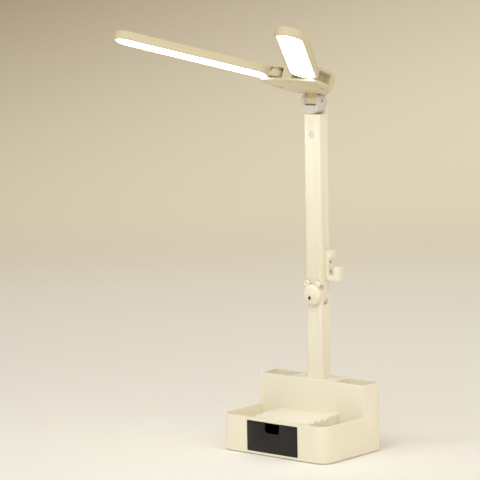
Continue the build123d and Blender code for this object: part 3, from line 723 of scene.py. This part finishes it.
@dataclass
class Studio:
    """Floor, lights and the photograph's camera."""

    azimuth: float = 40.61
    elevation: float = 7.33
    roll: float = -1.0
    distance: float = 2593.9
    lens: float = 187.5
    shift_right: float = -60.06
    shift_up: float = 22.23
    aim_height: float = 200.0
    floor_size: float = 12.0
    floor_colour: tuple[float, float, float] = (0.97, 0.945, 0.885)
    # painted shade on the backdrop: a warmer tone far off and a dark brown up high
    far_painted_shade: tuple[float, float, float] = (0.97, 0.90, 0.73)
    high_painted_shade: tuple[float, float, float] = (0.29, 0.225, 0.135)
    lights: list[bpy.types.Object] = field(default_factory=list)

    def floor(self) -> bpy.types.Object:
        """Make the pale floor, which sweeps up behind the lamp; painted shade makes it warmer with distance and dark
        brown as it rises.

        Returns:
            The floor.
        """
        mesh = bmesh.new()
        half = self.floor_size / 2
        back = math.radians(self.azimuth)
        turn = Matrix.Rotation(back, 4, "Z")
        bend = 1.2
        start = 1.6
        profile = [(-half, 0.0), (start, 0.0)]
        for step in range(1, 13):
            angle = math.pi / 2 * step / 12
            profile.append((start + bend * math.sin(angle), bend * (1 - math.cos(angle))))
        profile.append((start + bend, 5.0))
        rows = []
        sides = [half * (2 * step / 8 - 1) for step in range(9)]
        for depth, height in profile:
            rows.append([mesh.verts.new(turn @ Vector((across, depth, height))) for across in sides])
        for near, far in zip(rows, rows[1:]):
            for step in range(len(sides) - 1):
                mesh.faces.new((near[step], near[step + 1], far[step + 1], far[step]))
        data = bpy.data.meshes.new("floor")
        mesh.to_mesh(data)
        mesh.free()
        for polygon in data.polygons:
            polygon.use_smooth = True
        piece = bpy.data.objects.new("floor", data)
        bpy.context.scene.collection.objects.link(piece)
        material, tree, shader = start_material("studio_paper")
        place = add(tree, "ShaderNodeTexCoord")
        level = add(tree, "ShaderNodeSeparateXYZ")
        tree.links.new(place.outputs["Object"], level.inputs[0])
        away = add(tree, "ShaderNodeMapping")
        away.inputs["Rotation"].default_value = (0.0, 0.0, -back)
        tree.links.new(place.outputs["Object"], away.inputs["Vector"])
        plan = add(tree, "ShaderNodeSeparateXYZ")
        tree.links.new(away.outputs["Vector"], plan.inputs[0])
        # painted shade: the paper turns warmer with distance and dark brown with height, sooner to one side
        receding = add(tree, "ShaderNodeMapRange", interpolation_type="SMOOTHSTEP")
        receding.inputs["From Min"].default_value = 0.7
        receding.inputs["From Max"].default_value = 2.1
        tree.links.new(plan.outputs["Y"], receding.inputs["Value"])
        leaning = math_node(tree, "MULTIPLY", plan.outputs["X"], -0.25)
        rising = add(tree, "ShaderNodeMapRange", interpolation_type="SMOOTHSTEP")
        rising.inputs["From Min"].default_value = -0.05
        rising.inputs["From Max"].default_value = 0.85
        tree.links.new(math_node(tree, "ADD", level.outputs["Z"], leaning), rising.inputs["Value"])
        near = mix_colour(tree, receding.outputs["Result"], self.floor_colour, self.far_painted_shade)
        tree.links.new(mix_colour(tree, rising.outputs["Result"], near, self.high_painted_shade), shader.inputs["Base Color"])
        shader.inputs["Roughness"].default_value = 0.9
        data.materials.append(material)
        return piece

    def area_light(self, name: str, place: Vector, aim: Vector, size: float, power: float,
                   colour: tuple[float, float, float]) -> bpy.types.Object:
        """Make one soft light.

        Args:
            name: Name of the light.
            place: Where it stands.
            aim: Point it faces.
            size: Width of its square, in metres.
            power: Its power in watts.
            colour: Its colour.

        Returns:
            The light.
        """
        data = bpy.data.lights.new(name, "AREA")
        data.size = size
        data.energy = power
        data.color = colour
        light = bpy.data.objects.new(name, data)
        light.location = place
        light.rotation_mode = "QUATERNION"
        light.rotation_quaternion = (aim - place).to_track_quat("-Z", "Y")
        bpy.context.scene.collection.objects.link(light)
        self.lights.append(light)
        return light

    def camera(self) -> bpy.types.Object:
        """Make the camera at the photograph's angle.

        Returns:
            The camera.
        """
        azimuth, elevation, roll = (math.radians(v) for v in (self.azimuth, self.elevation, self.roll))
        back = Vector((
            math.sin(azimuth) * math.cos(elevation),
            -math.cos(azimuth) * math.cos(elevation),
            math.sin(elevation),
        ))
        right = Vector((math.cos(azimuth), math.sin(azimuth), 0.0))
        up = back.cross(right)
        target = Vector((0.0, 0.0, self.aim_height)) + right * self.shift_right + up * self.shift_up
        rolled_right = right * math.cos(roll) + up * math.sin(roll)
        rolled_up = up * math.cos(roll) - right * math.sin(roll)
        data = bpy.data.cameras.new("photo_camera")
        data.sensor_width = 36.0
        data.lens = self.lens
        data.clip_start = 0.05
        data.clip_end = 60.0
        camera = bpy.data.objects.new("photo_camera", data)
        turn = Matrix((rolled_right, rolled_up, back)).transposed().to_4x4()
        camera.matrix_world = Matrix.Translation((target + back * self.distance) * MM) @ turn
        bpy.context.scene.collection.objects.link(camera)
        bpy.context.scene.camera = camera
        return camera

    def build(self) -> None:
        """Make the floor, world, lights and camera."""
        self.floor()
        world = bpy.data.worlds.new("studio_world")
        world.use_nodes = True
        background = world.node_tree.nodes["Background"]
        background.inputs["Color"].default_value = (1.0, 0.95, 0.86, 1.0)
        background.inputs["Strength"].default_value = 0.64
        bpy.context.scene.world = world
        aim = Vector((0.0, 0.0, 0.15))
        self.area_light("key", Vector((-1.0, -2.2, 1.3)), aim, 1.6, 9.0, (0.90, 0.96, 1.0))
        self.area_light("fill", Vector((2.4, -0.6, 1.2)), aim, 2.0, 15.0, (1.0, 0.94, 0.82))
        self.area_light("floor_glow", Vector((0.3, -1.6, 2.2)), Vector((0.0, -0.2, 0.0)), 1.2, 13.0, (0.97, 0.99, 1.0))
        behind = Matrix.Rotation(math.radians(self.azimuth), 4, "Z")
        over = behind @ Vector((0.0, 1.5, 2.6))
        self.area_light("backdrop", over, behind @ Vector((0.0, 1.5, 0.0)), 2.4, 9.0, (1.0, 0.98, 0.94))
        self.camera()
        view = bpy.context.scene.view_settings
        view.view_transform = "Standard"
        view.look = "None"


def main() -> None:
    """Dress every sub-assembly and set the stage."""
    logging.basicConfig(level=logging.INFO, format="%(name)s: %(message)s")
    finishes = build_finishes()
    assemblies = (
        OrganizerBase(), Drawer(), Column(), ElbowFace(), Head(), LightPanel(Side.LEFT), LightPanel(Side.RIGHT),
    )
    for assembly in assemblies:
        for piece in assembly.build(finishes):
            log.info("%s: %s", type(assembly).__name__, piece.name)
    Studio().build()


if __name__ == "__main__":
    main()
